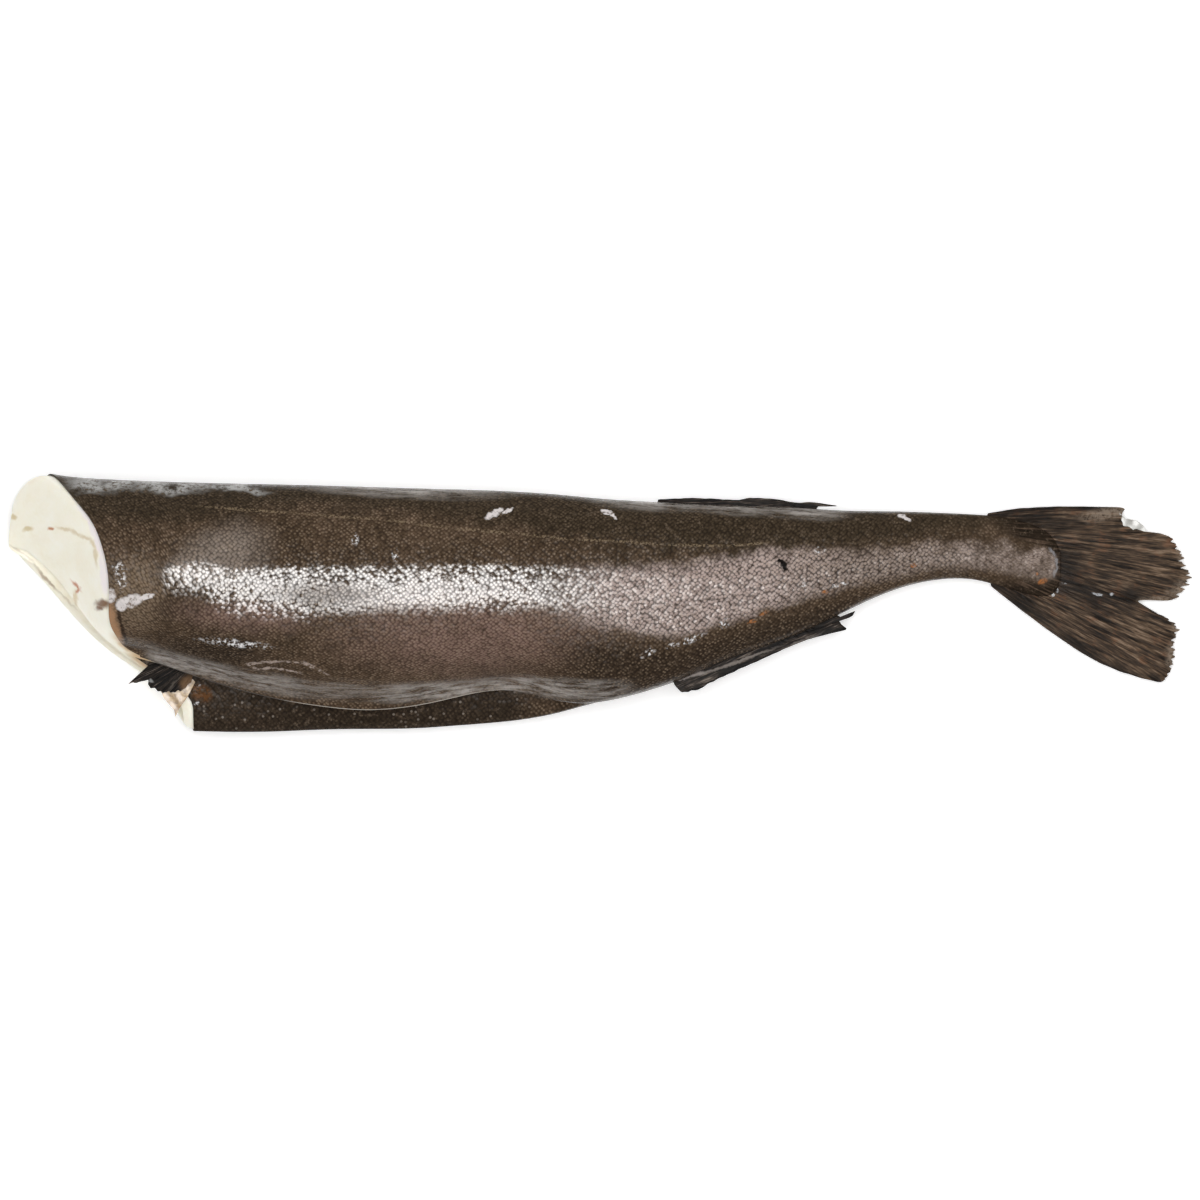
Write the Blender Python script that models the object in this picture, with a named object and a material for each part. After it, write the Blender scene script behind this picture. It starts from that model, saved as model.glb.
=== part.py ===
"""A headed and gutted sablefish, lying on its right side with its belly flaps folded together.

The fish is drawn in millimetres: x runs from the foremost point of the head cut to the tip of
the tail, y runs up towards the back from a line along the flank, and z is the height above the
table. A cross-section is a ring of points that starts at the free edge of the near belly flap,
goes over the near flank, the back and the far flank, and ends at the free edge of the far flap,
which is tucked in under the near one. Behind the vent both edges meet on the belly line.
"""

import math
import random

import bmesh
import bpy
from mathutils import Vector

# Driving dimensions, in millimetres. Places along the fish end in _X.
LENGTH = 596.5
VENT_X = 318.0
CLOSING_X = 245.0
NARROWING_X = 180.0
NARROWED_X = 262.0
FLESH_END_X = 506.0
BODY_END_X = 528.5
SKIN_THICKNESS = 0.9
SKIN_TO_FLESH = 0.4
FIN_TO_SKIN = 0.3
TAIL_TO_SKIN = 0.5
FLESH_PAST_SKIN = 1.6
FLESH_PAST_SKIN_AT_BACK = 10.0
CUT_DOME = 2.5
FLANK_PRESSED = 1.2
FLAP_THICKNESS = 4.4
FLAP_LAP = 5.5
FLAP_EDGE_REACH = 0.8
CAVITY_GAP = 3.0
POCKET_DEPTH = 3.0
POCKET_HALF_GAP = 0.3
MM = 0.001
# The far flap's curled edge stands at this share of the flank's height.
FLAP_TOP_SHARE = 0.355
# Powers under 1 make the oval section a little boxy, across and up.
BOXY_ACROSS, BOXY_UP = 0.94, 0.92

# The middle of the fish's bounding box in the drawing, which becomes the object's origin.
CENTRE_X = LENGTH / 2
CENTRE_Y = -1.2

# Outlines along the fish as (x, value): the back, the near flap's rim or the near edge of the
# belly, the far side of the belly, and the height of the upper flank above the table.
BACK = (
    (0, 65), (14, 65.2), (21, 64.4), (27, 63.2), (35, 62.2), (48, 61.3), (98, 59.5), (148, 58.5),
    (198, 57), (248, 55.5), (278, 53.5), (300, 51), (328, 49.5), (353, 48), (391, 47), (420, 45),
    (448, 44.7), (468, 44), (488, 43), (498, 42.3), (508, 40.5), (518, 37), (525, 32.5),
    (528.5, 26),
)
RIM = (
    (0, -22), (50, -26), (71, -29.7), (94, -37.5), (122, -46), (148, -51.5), (182, -55),
    (210, -52), (238, -45.5), (258, -44), (285, -47), (300, -48), (318, -46.5),
)
BELLY = (
    (0, -62), (72, -65), (98, -66), (122, -66.5), (172, -65), (198, -65), (222, -63.5),
    (248, -61.5), (272, -59.2), (298, -52.3), (318, -46.5), (333, -43), (348, -34.5), (372, -26),
    (398, -17), (428, -2), (448, 6.5), (468, 10.5), (478, 11.2), (488, 10), (498, 7), (508, 4),
    (518, 1.5), (525, 2), (528.5, 7.5),
)
FLANK = (
    (0, 66), (50, 72), (100, 75), (150, 76), (200, 73), (250, 67), (300, 58), (340, 50),
    (380, 41), (420, 32), (450, 24.5), (475, 18.5), (490, 15), (505, 11), (515, 8.3), (525, 5.8),
    (528.5, 4.6),
)
# How far the underside is clear of the table.
LIFT = ((0, 0), (400, 0), (450, 0.8), (500, 1.6), (530, 1.6))

# The head cut as (y, x): where it leaves the near flank, and where it leaves the far flank.
NEAR_CUT = (
    (-66, 98), (-60, 104), (-52, 113), (-46, 119), (-40, 116), (-34, 98), (-29.5, 83), (-25, 70.5),
    (-17.5, 59.5), (-8.5, 53.5), (4, 54), (21.5, 53), (31, 48.5), (42, 45), (50, 40.5),
    (56.5, 38.5), (60, 36), (64, 32.5),
)
FAR_CUT = (
    (-65.5, 92.5), (-51, 83.5), (-46, 79), (-34, 67.5), (-27.5, 54.5), (-20, 46), (-10, 37),
    (0, 28.5), (11, 19.5), (17.5, 10.5), (22.5, 4.5), (30, 1.5), (40, 1), (46, 1), (53, 3),
    (58, 6), (62, 12),
)

# Margins of the spread fins as (share along the root, x, y, z).
TAIL_TIPS = (
    (0, 494, 43.9, 8.5), (0.05, 512, 46.6, 7), (0.10, 532, 47.3, 5.5), (0.15, 563, 46.6, 4.5),
    (0.19, 560.5, 40.5, 4.2), (0.23, 571, 34.8, 4), (0.28, 583.5, 33, 4), (0.32, 590.5, 26.5, 4),
    (0.37, 594.8, 15.7, 3.6), (0.41, 597, 8.7, 3.2), (0.44, 592, 3.8, 3), (0.47, 587, -0.8, 3),
    (0.50, 568, -0.6, 3.2), (0.53, 577, -6.2, 3), (0.57, 587.5, -11.6, 2.8),
    (0.61, 590.5, -15.2, 2.8), (0.65, 588, -20.6, 3), (0.70, 588, -28.5, 3.2),
    (0.75, 585, -37.5, 3.4), (0.79, 581, -42.4, 3.6), (0.83, 565, -38.6, 3.8),
    (0.87, 547, -31.3, 4), (0.91, 530, -20.5, 4.6), (0.95, 512, -7.5, 5.6), (1, 493, 7.6, 8),
)
PELVIC_TIPS = (
    (0, 59.5, -43.6, 27), (0.12, 66, -42, 27.4), (0.21, 71.2, -40.6, 27.8), (0.29, 70.5, -45.2, 28),
    (0.38, 74, -45.8, 28), (0.46, 77.3, -47.4, 28), (0.6, 80.5, -47, 28), (0.72, 83.5, -47.8, 28),
    (0.86, 88, -46.4, 28.3), (1, 92.5, -43, 28.6),
)
# Margins of the folded fins as (share along the root, x, how far it stands off the body).
FIRST_DORSAL_TIPS = ((0, 121, 1), (0.25, 162, 2.2), (0.6, 216, 2.0), (0.85, 254, 1.4), (1, 276, 0.9))
SECOND_DORSAL_TIPS = (
    (0, 328, 1), (0.3, 350, 2.8), (0.5, 366, 2.5), (0.62, 373, 3.8), (0.75, 386, 3.6),
    (0.85, 397, 2), (0.93, 404, 2.9), (1, 419, 1.8),
)
ANAL_TIPS = (
    (0, 338.5, 6), (0.12, 347.5, 9), (0.25, 360, 8.3), (0.38, 374, 6.5), (0.5, 388, 5),
    (0.6, 399, 4.2), (0.7, 412, 6.8), (0.78, 422.5, 9.6), (0.86, 418, 3), (0.93, 424, 4),
    (1, 427, 1.8),
)
# The tail fin grows from TAIL_ROOT_START, and a third of its root lies along each edge.
TAIL_ROOT_START, TAIL_ROOT_EDGE = 489, 0.33
FIN_ROWS = 4
WEB_SHARE = 0.62
BACK_SIDE, BELLY_SIDE = 1, -1

# Round the section, as shares of the way from the near flap's edge to the far flap's edge.
ROUND = (
    0, 0.02, 0.055, 0.10, 0.16, 0.25, 0.34, 0.42, 0.50, 0.58, 0.66, 0.75, 0.82, 0.87, 0.91, 0.94,
    0.97, 1,
)
STEPS_PER_CONTROL = 2
RING_STEPS = (len(ROUND) - 1) * STEPS_PER_CONTROL

# From the foot of the cut on, the far wall of the cavity rises to meet the near one.
CUT_FOOT_X, WALL_RISES_OVER = 95.0, 32.0

# Stations along the fish. The first ones are spaced between the slanted head cut and SQUARE_X,
# from where each station is a plain cross-section.
SQUARE_X = 112.0
SLANTED = (0, 0.1, 0.27, 0.5, 0.75)
GUTTED_STATIONS = 15
CLOSED_STATIONS = (
    338, 358, 378, 398, 418, 436, 452, 466, 479, 490, 499, 506, 513, 519.5, 525, 528.5,
)


def through(knots):
    """A smooth function through (x, value) knots with no overshoot, level beyond its ends."""
    xs, values = zip(*knots)
    rises = [
        (values[i + 1] - values[i]) / (xs[i + 1] - xs[i]) for i in range(len(xs) - 1)
    ]
    slopes = [rises[0]]
    for before, after in zip(rises, rises[1:]):
        same_way = before * after > 0
        slopes.append(2 * before * after / (before + after) if same_way else 0.0)
    slopes.append(rises[-1])

    def value_at(x):
        if x <= xs[0]:
            return values[0]
        if x >= xs[-1]:
            return values[-1]
        i = max(k for k in range(len(xs) - 1) if xs[k] <= x)
        wide = xs[i + 1] - xs[i]
        u = (x - xs[i]) / wide
        return (
            values[i] * (1 + 2 * u) * (1 - u) ** 2
            + slopes[i] * wide * u * (1 - u) ** 2
            + values[i + 1] * u * u * (3 - 2 * u)
            + slopes[i + 1] * wide * u * u * (u - 1)
        )

    return value_at


back_at, rim_at, belly_at = through(BACK), through(RIM), through(BELLY)
flank_at, lift_at = through(FLANK), through(LIFT)
near_cut_at, far_cut_at = through(NEAR_CUT), through(FAR_CUT)
# The near flap's rim stands this far above the far flap that it laps over.
lip_rise_at = through(((0, 9), (80, 8.5), (110, 7), (140, 6), (210, 5.6), (250, 5.3), (318, 5)))


def mix(a, b, share):
    return a + (b - a) * share


def eased(x, start, end):
    """0 before start, 1 after end, and a smooth rise between them."""
    u = min(1.0, max(0.0, (x - start) / (end - start)))
    return u * u * (3 - 2 * u)


def blended(ring, other, share):
    """The points share of the way from one ring to another."""
    return [(mix(a[0], b[0], share), mix(a[1], b[1], share)) for a, b in zip(ring, other)]


def signed_power(value, power):
    return math.copysign(abs(value) ** power, value)


def closed_controls(x):
    """The ring's controls where the belly is whole: an oval, a little boxy."""
    back, belly, flank = back_at(x), belly_at(x), flank_at(x)
    mid_y, half_y = (back + belly) / 2, (back - belly) / 2
    mid_z, half_z = (flank - FLANK_PRESSED) / 2, (flank + FLANK_PRESSED) / 2
    controls = []
    for share in ROUND:
        turn = 2 * math.pi * share
        y = mid_y - half_y * signed_power(math.cos(turn), BOXY_ACROSS)
        z = mid_z + half_z * signed_power(math.sin(turn), BOXY_UP)
        controls.append((y, z))
    return controls


def flap_heights(x):
    """The heights of the far flap's curled edge and of the near flap's rim."""
    top = FLAP_TOP_SHARE * flank_at(x)
    return top, top + lip_rise_at(x)


def gutted_controls(x):
    """The ring's controls where the belly is slit: the near flap laps over the curled far flap."""
    back, rim, belly, flank = back_at(x), rim_at(x), belly_at(x), flank_at(x)
    top, lip = flap_heights(x)
    near, far = back - rim, back - belly
    return [
        (rim + 0.5, lip - 2.5),
        (rim, lip),
        (rim + 4.5, lip + 4.0),
        (rim + 0.105 * near, lip + 0.23 * flank),
        (rim + 0.22 * near, mix(lip, flank, 0.74)),
        (rim + 0.47 * near, flank),
        (rim + 0.74 * near, 0.90 * flank),
        (rim + 0.92 * near, 0.70 * flank),
        (back, 0.47 * flank),
        (belly + 0.925 * far, 0.22 * flank),
        (belly + 0.80 * far, 0.035 * flank),
        (belly + 0.585 * far, -FLANK_PRESSED),
        (belly + 0.33 * far, -FLANK_PRESSED),
        (belly + 0.12 * far, 0.025 * flank),
        (belly + 0.026 * far, 0.105 * flank),
        (belly, 0.19 * flank),
        (belly + 0.035 * far, 0.275 * flank),
        (rim + FLAP_LAP, top),
    ]


def cavity_controls(x):
    """The ring of the gut cavity inside the section, control for control as the ring outside.

    The cavity has fallen shut to a slit. Its roof is the near flank's inner face, and the far
    flank's lies CAVITY_GAP below it. At the head cut the far flank is a thinner wall, curled up.
    """
    back, rim, belly, flank = back_at(x), rim_at(x), belly_at(x), flank_at(x)
    top, lip = flap_heights(x)
    near, far = back - rim, back - belly
    floor = 0.12 * flank
    roof = floor + CAVITY_GAP
    inner = lip - FLAP_THICKNESS
    ceiling = [
        (rim + 3.6, lip - 3.9),
        (rim + 4.8, lip - 3.9),
        (rim + 9.5, inner),
        (rim + 0.17 * near, mix(inner, roof, 0.30)),
        (rim + 0.25 * near, mix(inner, roof, 0.66)),
        (rim + 0.36 * near, roof),
        (rim + 0.45 * near, roof),
    ]
    deep_end = [
        (rim + 0.52 * near, mix(floor, roof, 0.8)),
        (rim + 0.55 * near, mix(floor, roof, 0.5)),
        (rim + 0.52 * near, mix(floor, roof, 0.2)),
        (rim + 0.45 * near, floor),
        (rim + 0.36 * near, floor),
    ]
    curled_wall = [
        (belly + 0.29 * far, 0.115 * flank),
        (belly + 0.18 * far, 0.115 * flank),
        (belly + 0.065 * far, 0.14 * flank),
        (belly + 0.052 * far, 0.19 * flank),
        (belly + 0.075 * far, 0.225 * flank),
    ]
    fallen_wall = [
        (rim + 0.25 * near, ceiling[4][1] - CAVITY_GAP),
        (rim + 0.17 * near, ceiling[3][1] - CAVITY_GAP),
        (rim + 11.5, inner - 0.5 - CAVITY_GAP),
        (rim + 9.0, inner - 0.4 - CAVITY_GAP),
        (rim + 7.2, mix(inner - CAVITY_GAP, top - FLAP_THICKNESS, 0.5)),
    ]
    fallen = eased(x, CUT_FOOT_X, CUT_FOOT_X + WALL_RISES_OVER)
    floor_line = blended(curled_wall, fallen_wall, fallen)
    gutted = [*ceiling, *deep_end, *floor_line, (rim + FLAP_LAP, top - FLAP_THICKNESS)]
    # Towards the vent it narrows to a thin pocket behind the slit.
    pocket = []
    for share in ROUND:
        turn = math.pi * share
        y = belly + POCKET_DEPTH * (1 + math.sin(turn))
        pocket.append((y, flank / 2 + POCKET_HALF_GAP * math.cos(turn)))
    narrowed = blended(gutted, narrow_slit(gutted), eased(x, NARROWING_X, NARROWED_X))
    return blended(narrowed, pocket, eased(x, CLOSING_X, VENT_X))


def narrow_slit(gutted):
    """A thin pocket between the two ends of the gutted ring."""
    (y0, z0), (y1, z1) = gutted[0], gutted[-1]
    return [
        (mix(y0, y1, share) + POCKET_DEPTH * math.sin(math.pi * share), mix(z0, z1, share))
        for share in ROUND
    ]


def spline_round(controls):
    """Points of a smooth curve through the controls, STEPS_PER_CONTROL to each stretch."""
    first = tuple(2 * a - b for a, b in zip(controls[0], controls[1]))
    last = tuple(2 * a - b for a, b in zip(controls[-1], controls[-2]))
    line = [first, *controls, last]
    points = []
    for i in range(1, len(line) - 2):
        for step in range(STEPS_PER_CONTROL):
            u = step / STEPS_PER_CONTROL
            p, q, r, s = line[i - 1 : i + 3]
            points.append(
                tuple(
                    0.5 * (2 * b + (c - a) * u + (2 * a - 5 * b + 4 * c - d) * u * u
                           + (3 * b - a - 3 * c + d) * u**3)
                    for a, b, c, d in zip(p, q, r, s)
                )
            )
    points.append(tuple(controls[-1]))
    return points


def outer_ring(x, inset=0.0):
    """The section's outside at x as (y, z) points, moved in by inset from the skin's surface."""
    closed = eased(x, CLOSING_X, VENT_X)
    controls = closed_controls(x)
    if closed < 1:
        controls = blended(gutted_controls(x), controls, closed)
    ring = spline_round(controls)
    whole = x >= VENT_X
    moved = []
    for i, (y, z) in enumerate(ring):
        before = ring[i - 1] if i else (ring[-2] if whole else ring[0])
        after = ring[i + 1] if i < RING_STEPS else (ring[1] if whole else ring[-1])
        along = Vector((after[0] - before[0], after[1] - before[1])).normalized()
        # The ring runs up the near flank and down the far one, so this points into the flesh.
        y += along.y * inset
        z -= along.x * inset
        moved.append((y, lift_at(x) + max(z, inset)))
    if whole:
        moved[-1] = moved[0]
    return moved


def cavity_ring(x):
    ring = [(y, lift_at(x) + z) for y, z in spline_round(cavity_controls(x))]
    if x >= VENT_X:
        ring[-1] = ring[0]
    return ring


def cut_x(x, y, z):
    """Where the head cut passes y, z: it is slanted, and ruled between its two outlines."""
    share = min(1.0, max(0.0, (z / flank_at(x) - 0.02) / 0.86))
    return mix(far_cut_at(y), near_cut_at(y), share)


def cut_ring(ring_at, ahead):
    """The x at which the head cut meets each line along the body, less ahead of its share."""
    starts = []
    for j in range(RING_STEPS + 1):
        x = SQUARE_X / 2
        for _ in range(25):
            x = mix(x, cut_x(x, *ring_at(x)[j]) - ahead(j / RING_STEPS), 0.6)
        starts.append(x)
    return starts


def flush(_share):
    return 0.0


def past_skin(share):
    """How far the flesh stands out of the skin at the cut: most at the back."""
    back = math.exp(-(((share - 0.5) / 0.055) ** 2))
    return mix(FLESH_PAST_SKIN, FLESH_PAST_SKIN_AT_BACK, back)


def stations(end_x):
    """The plain stations from SQUARE_X to end_x."""
    slit = [
        mix(SQUARE_X, VENT_X, i / GUTTED_STATIONS) for i in range(GUTTED_STATIONS + 1)
    ]
    return [x for x in (*slit, *CLOSED_STATIONS) if x <= end_x + 1e-6]


def rows_of(ring_at, end_x, ahead=flush):
    """Rows of (x, y, z) points from the head cut to end_x, one row for each station."""
    starts = cut_ring(ring_at, ahead)
    rows = []
    for share in SLANTED:
        row = []
        for j, start in enumerate(starts):
            x = mix(start, SQUARE_X, share)
            row.append((x, *ring_at(x)[j]))
        rows.append(row)
    for x in stations(end_x):
        rows.append([(x, *point) for point in ring_at(x)])
    return rows


def metres(point):
    return Vector(point) * MM


class Shell:
    """A mesh built from rows of points; points that coincide are merged when it is finished."""

    def __init__(self):
        self.mesh = bmesh.new()

    def sheet(self, rows):
        """Quads between neighbouring rows."""
        verts = [[self.mesh.verts.new(metres(p)) for p in row] for row in rows]
        for upper, lower in zip(verts, verts[1:]):
            for a, b, c, d in zip(upper, upper[1:], lower[1:], lower):
                self.mesh.faces.new((a, b, c, d))

    def finish(self, name, material, collection, weld=1e-5):
        bmesh.ops.remove_doubles(self.mesh, verts=self.mesh.verts, dist=weld)
        bmesh.ops.dissolve_degenerate(self.mesh, edges=self.mesh.edges, dist=1e-7)
        bmesh.ops.recalc_face_normals(self.mesh, faces=self.mesh.faces)
        if self.mesh.calc_volume(signed=True) < 0:
            bmesh.ops.reverse_faces(self.mesh, faces=self.mesh.faces)
        data = bpy.data.meshes.new(name)
        self.mesh.to_mesh(data)
        self.mesh.free()
        data.shade_smooth()
        data.set_sharp_from_angle(angle=math.radians(50))
        data.materials.append(material)
        made = bpy.data.objects.new(name, data)
        collection.objects.link(made)
        return made


def folded_cap(row):
    """Rows that close a ring like a purse, each point joined to the one across from it."""
    half = RING_STEPS // 2
    return [row[: half + 1], [row[RING_STEPS - j] for j in range(half + 1)]]


def make_skin(material, collection):
    """The skin: a thin sleeve, open at the head cut and along the belly slit, solid at the tail."""
    outside = rows_of(outer_ring, BODY_END_X)
    inside = rows_of(lambda x: outer_ring(x, SKIN_THICKNESS), FLESH_END_X)
    # The sleeve's end is cut square to the one outside, point for point.
    inside[0] = [
        (x, y, z) for (x, _, _), (_, y, z) in zip(outside[0], inside[0])
    ]
    shell = Shell()
    shell.sheet(outside)
    shell.sheet(inside)
    shell.sheet([outside[0], inside[0]])
    slit_rows = len(SLANTED) + GUTTED_STATIONS + 1
    for edge in (0, -1):
        shell.sheet(
            [
                [row[edge] for row in outside[:slit_rows]],
                [row[edge] for row in inside[:slit_rows]],
            ]
        )
    shell.sheet(folded_cap(outside[-1]))
    shell.sheet(folded_cap(inside[-1]))
    return shell.finish("skin", material, collection)


def flesh_ring(x):
    """The flesh's outside: under the skin, and a little past its edges along the slit."""
    inset = SKIN_THICKNESS + SKIN_TO_FLESH
    ring = outer_ring(x, inset)
    if x >= VENT_X:
        return ring
    reach = FLAP_EDGE_REACH * (1 - eased(x, CLOSING_X + 7, VENT_X))
    for end, beside in ((0, 1), (-1, -2)):
        along = Vector(ring[end]) - Vector(ring[beside])
        ring[end] = tuple(Vector(ring[end]) + along.normalized() * reach)
    return ring


def across(outer, inner, bulge):
    """Rows from one line of points to another, pushed out by bulge halfway between them."""
    rows = []
    for share in (0, 0.2, 0.45, 0.7, 0.88, 1):
        push = 4 * share * (1 - share)
        rows.append(
            [
                tuple(mix(p, q, share) + push * d for p, q, d in zip(a, b, bulge))
                for a, b in zip(outer, inner)
            ]
        )
    return rows


def make_flesh(material, collection):
    """The flesh: the thick back and the belly walls round the gut cavity."""
    outside = rows_of(flesh_ring, FLESH_END_X - SKIN_TO_FLESH, ahead=past_skin)
    outside.append([(FLESH_END_X - 0.5, *p) for p in flesh_ring(FLESH_END_X - 0.5)])
    cavity = rows_of(cavity_ring, VENT_X, ahead=past_skin)
    shell = Shell()
    shell.sheet(outside)
    shell.sheet(cavity)
    shell.sheet(folded_cap(outside[-1]))
    shell.sheet(folded_cap(cavity[-1]))
    # The cut face runs from the skin in to the cavity's mouth, domed a little between them.
    face = across(outside[0], cavity[0], (-CUT_DOME, 0, 0))
    shell.sheet(face)
    # The flaps' free edges are rounded, and the near one shows as a pale line below the skin.
    for edge, low in ((0, (0, -3.4, -0.4)), (-1, (0, 0, 0))):
        strip = [[row[edge] for row in face]]
        for a, b in zip(outside[1:], cavity[1:]):
            fade = 1 - eased(a[edge][0], CLOSING_X - 13, VENT_X)
            bulge = tuple(fade * part for part in low)
            strip.append([points[0] for points in across([a[edge]], [b[edge]], bulge)])
        shell.sheet(strip)
    return shell.finish("flesh", material, collection)


def station_edge(x, z, side):
    """Where the body's section at x crosses the height z, on the back side or the belly side."""
    crossings = []
    ring = outer_ring(x)
    for (y0, z0), (y1, z1) in zip(ring, ring[1:]):
        if min(z0, z1) <= z <= max(z0, z1) and z0 != z1:
            crossings.append(mix(y0, y1, (z - z0) / (z1 - z0)))
    return max(crossings) if side == BACK_SIDE else min(crossings)


def edge_at(x, z, side):
    """The same on the faceted body, whose sides run straight from one station to the next."""
    places = stations(BODY_END_X)
    before = max(place for place in places if place <= x)
    after = min(place for place in places if place > x)
    share = (x - before) / (after - before)
    return mix(station_edge(before, z, side), station_edge(after, z, side), share)


def folded_fin(start, end, height_share, side, clear, tips):
    """The place of (share, u) on a fin folded along the body from start to end.

    share runs along the root, and u from the root to the margin. tips holds (share, x, how far
    the margin stands off the body), height_share is where on the flank the fin grows, and clear
    is half of its thickness.
    """
    tip_x = through([(tip[0], tip[1]) for tip in tips])
    stand_off = through([(tip[0], tip[2]) for tip in tips])

    def place(share, u):
        x = mix(mix(start, end, share), tip_x(share), u)
        z = lift_at(x) + height_share * flank_at(x)
        edge = max(edge_at(x, z + off, side) * side for off in (-clear, 0, clear)) * side
        return Vector((x, edge + side * (FIN_TO_SKIN + u * stand_off(share)), z))

    return place


def spread_fin(root_at, tips):
    """The place of (share, u) on a fin whose straight rays run from root_at to the tips."""
    tip_at = [through([(tip[0], tip[k]) for tip in tips]) for k in (1, 2, 3)]

    def place(share, u):
        tip = Vector([axis(share) for axis in tip_at])
        return Vector(root_at(share)).lerp(tip, u)

    return place


def tail_root(share):
    """The tail fin's root: along the upper edge, down the body's end, and back along the lower."""
    side = BACK_SIDE if share < 0.5 else BELLY_SIDE
    past_corner = max(0.0, abs(share - 0.5) - (0.5 - TAIL_ROOT_EDGE)) / TAIL_ROOT_EDGE
    x = mix(BODY_END_X - 0.01, TAIL_ROOT_START, past_corner**1.6)
    z = lift_at(x) + 0.5 * flank_at(x)
    y = edge_at(x, z, side) + side * TAIL_TO_SKIN
    if past_corner > 0:
        return (x, y, z)
    corner = edge_at(x, z, -side) - side * TAIL_TO_SKIN
    down = 0.5 + (share - 0.5) / (1 - 2 * TAIL_ROOT_EDGE)
    top, bottom = (y, corner) if side == BACK_SIDE else (corner, y)
    return (BODY_END_X + TAIL_TO_SKIN, mix(top, bottom, down), z)


def pelvic_root(share):
    """The pelvic fin's root, close under the near flap's rim."""
    x = mix(78.5, 95.5, share)
    _, lip = flap_heights(x)
    return (x, rim_at(x) + 5.5, lip - 5.8)


def make_fin(name, place, rays, thick, notch, material, collection, seed, wave=0.0):
    """A thin plate between a fin's root and its ragged margin, at place(share, u).

    Each ray is a ridge on both faces, and the web between two rays is thinner and ends up to
    notch short of them. thick is the plate's thickness at its root and at its margin.
    """
    draw = random.Random(seed)
    upper, lower = [], []
    for column in range(2 * rays + 1):
        share = column / (2 * rays)
        on_ray = column % 2 == 0
        reach = (place(share, 1) - place(share, 0)).length
        short = notch * (draw.uniform(0, 0.25) if on_ray else draw.uniform(0.3, 1.0))
        whole = max(0.6, 1 - short / reach)
        droop = draw.uniform(-wave, wave)
        over, under = [], []
        for row in range(FIN_ROWS + 1):
            u = row / FIN_ROWS
            half = 0.5 * mix(thick[0], thick[1], u) * (1.0 if on_ray else WEB_SHARE)
            x, y, z = place(share, u * whole)
            z += droop * u
            over.append((x, y, z + half))
            under.append((x, y, z - half))
        upper.append(over)
        lower.append(under)
    shell = Shell()
    shell.sheet(upper)
    shell.sheet(lower)
    for end in (0, -1):
        shell.sheet([upper[end], lower[end]])
        shell.sheet([[row[end] for row in upper], [row[end] for row in lower]])
    return shell.finish(name, material, collection)


def make_fins(material, collection):
    """The fins: the forked tail, two folded along the back, one folded below, one at the flap."""
    look = (material, collection)
    tail = spread_fin(tail_root, TAIL_TIPS)
    second = folded_fin(324, 398, 0.5, BACK_SIDE, 1.3, SECOND_DORSAL_TIPS)
    first = folded_fin(116, 262, 0.32, BACK_SIDE, 0.9, FIRST_DORSAL_TIPS)
    anal = folded_fin(334, 404, 0.5, BELLY_SIDE, 1.5, ANAL_TIPS)
    pelvic = spread_fin(pelvic_root, PELVIC_TIPS)
    return [
        make_fin("tail_fin", tail, 44, (2.6, 0.9), 2.2, *look, seed=3, wave=0.5),
        make_fin("second_dorsal_fin", second, 18, (2.4, 1.0), 0.8, *look, seed=5),
        make_fin("first_dorsal_fin", first, 20, (1.8, 1.0), 0.5, *look, seed=7),
        make_fin("anal_fin", anal, 20, (2.8, 1.1), 1.6, *look, seed=9, wave=0.4),
        make_fin("pelvic_fin", pelvic, 12, (1.7, 0.9), 3.5, *look, seed=11, wave=0.3),
    ]


def make_material(name, colour, roughness):
    material = bpy.data.materials.new(name)
    material.use_nodes = True
    shader = material.node_tree.nodes["Principled BSDF"]
    shader.inputs["Base Color"].default_value = (*colour, 1)
    shader.inputs["Roughness"].default_value = roughness
    shader.inputs["Metallic"].default_value = 0
    material.diffuse_color = (*colour, 1)
    return material


def main():
    for old in list(bpy.data.objects):
        bpy.data.objects.remove(old)
    parts = bpy.data.collections.new("headed_gutted_sablefish")
    bpy.context.scene.collection.children.link(parts)
    skin = make_material("dark_skin", (0.075, 0.057, 0.043), 0.35)
    flesh = make_material("pale_flesh", (0.83, 0.79, 0.69), 0.45)
    fin = make_material("dark_fin", (0.045, 0.036, 0.028), 0.5)
    pieces = [make_skin(skin, parts), make_flesh(flesh, parts), *make_fins(fin, parts)]
    frame = bpy.data.objects.new("fish_frame", None)
    frame.location = (-CENTRE_X * MM, -CENTRE_Y * MM, 0)
    parts.objects.link(frame)
    for piece in pieces:
        piece.parent = frame


main()
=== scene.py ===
"""A headed and gutted sablefish on a pale table, seen from straight above.

The fish lies on its right flank with its head cut to the left. Its pieces are worked up from
copies of the frame's solids: the scaly skin, the cut flesh and the fins. Places that were read
off the photograph are given in its pixels, in a frame of 1200 by 1200, and heights of relief in
millimetres.
"""

import math

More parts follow.
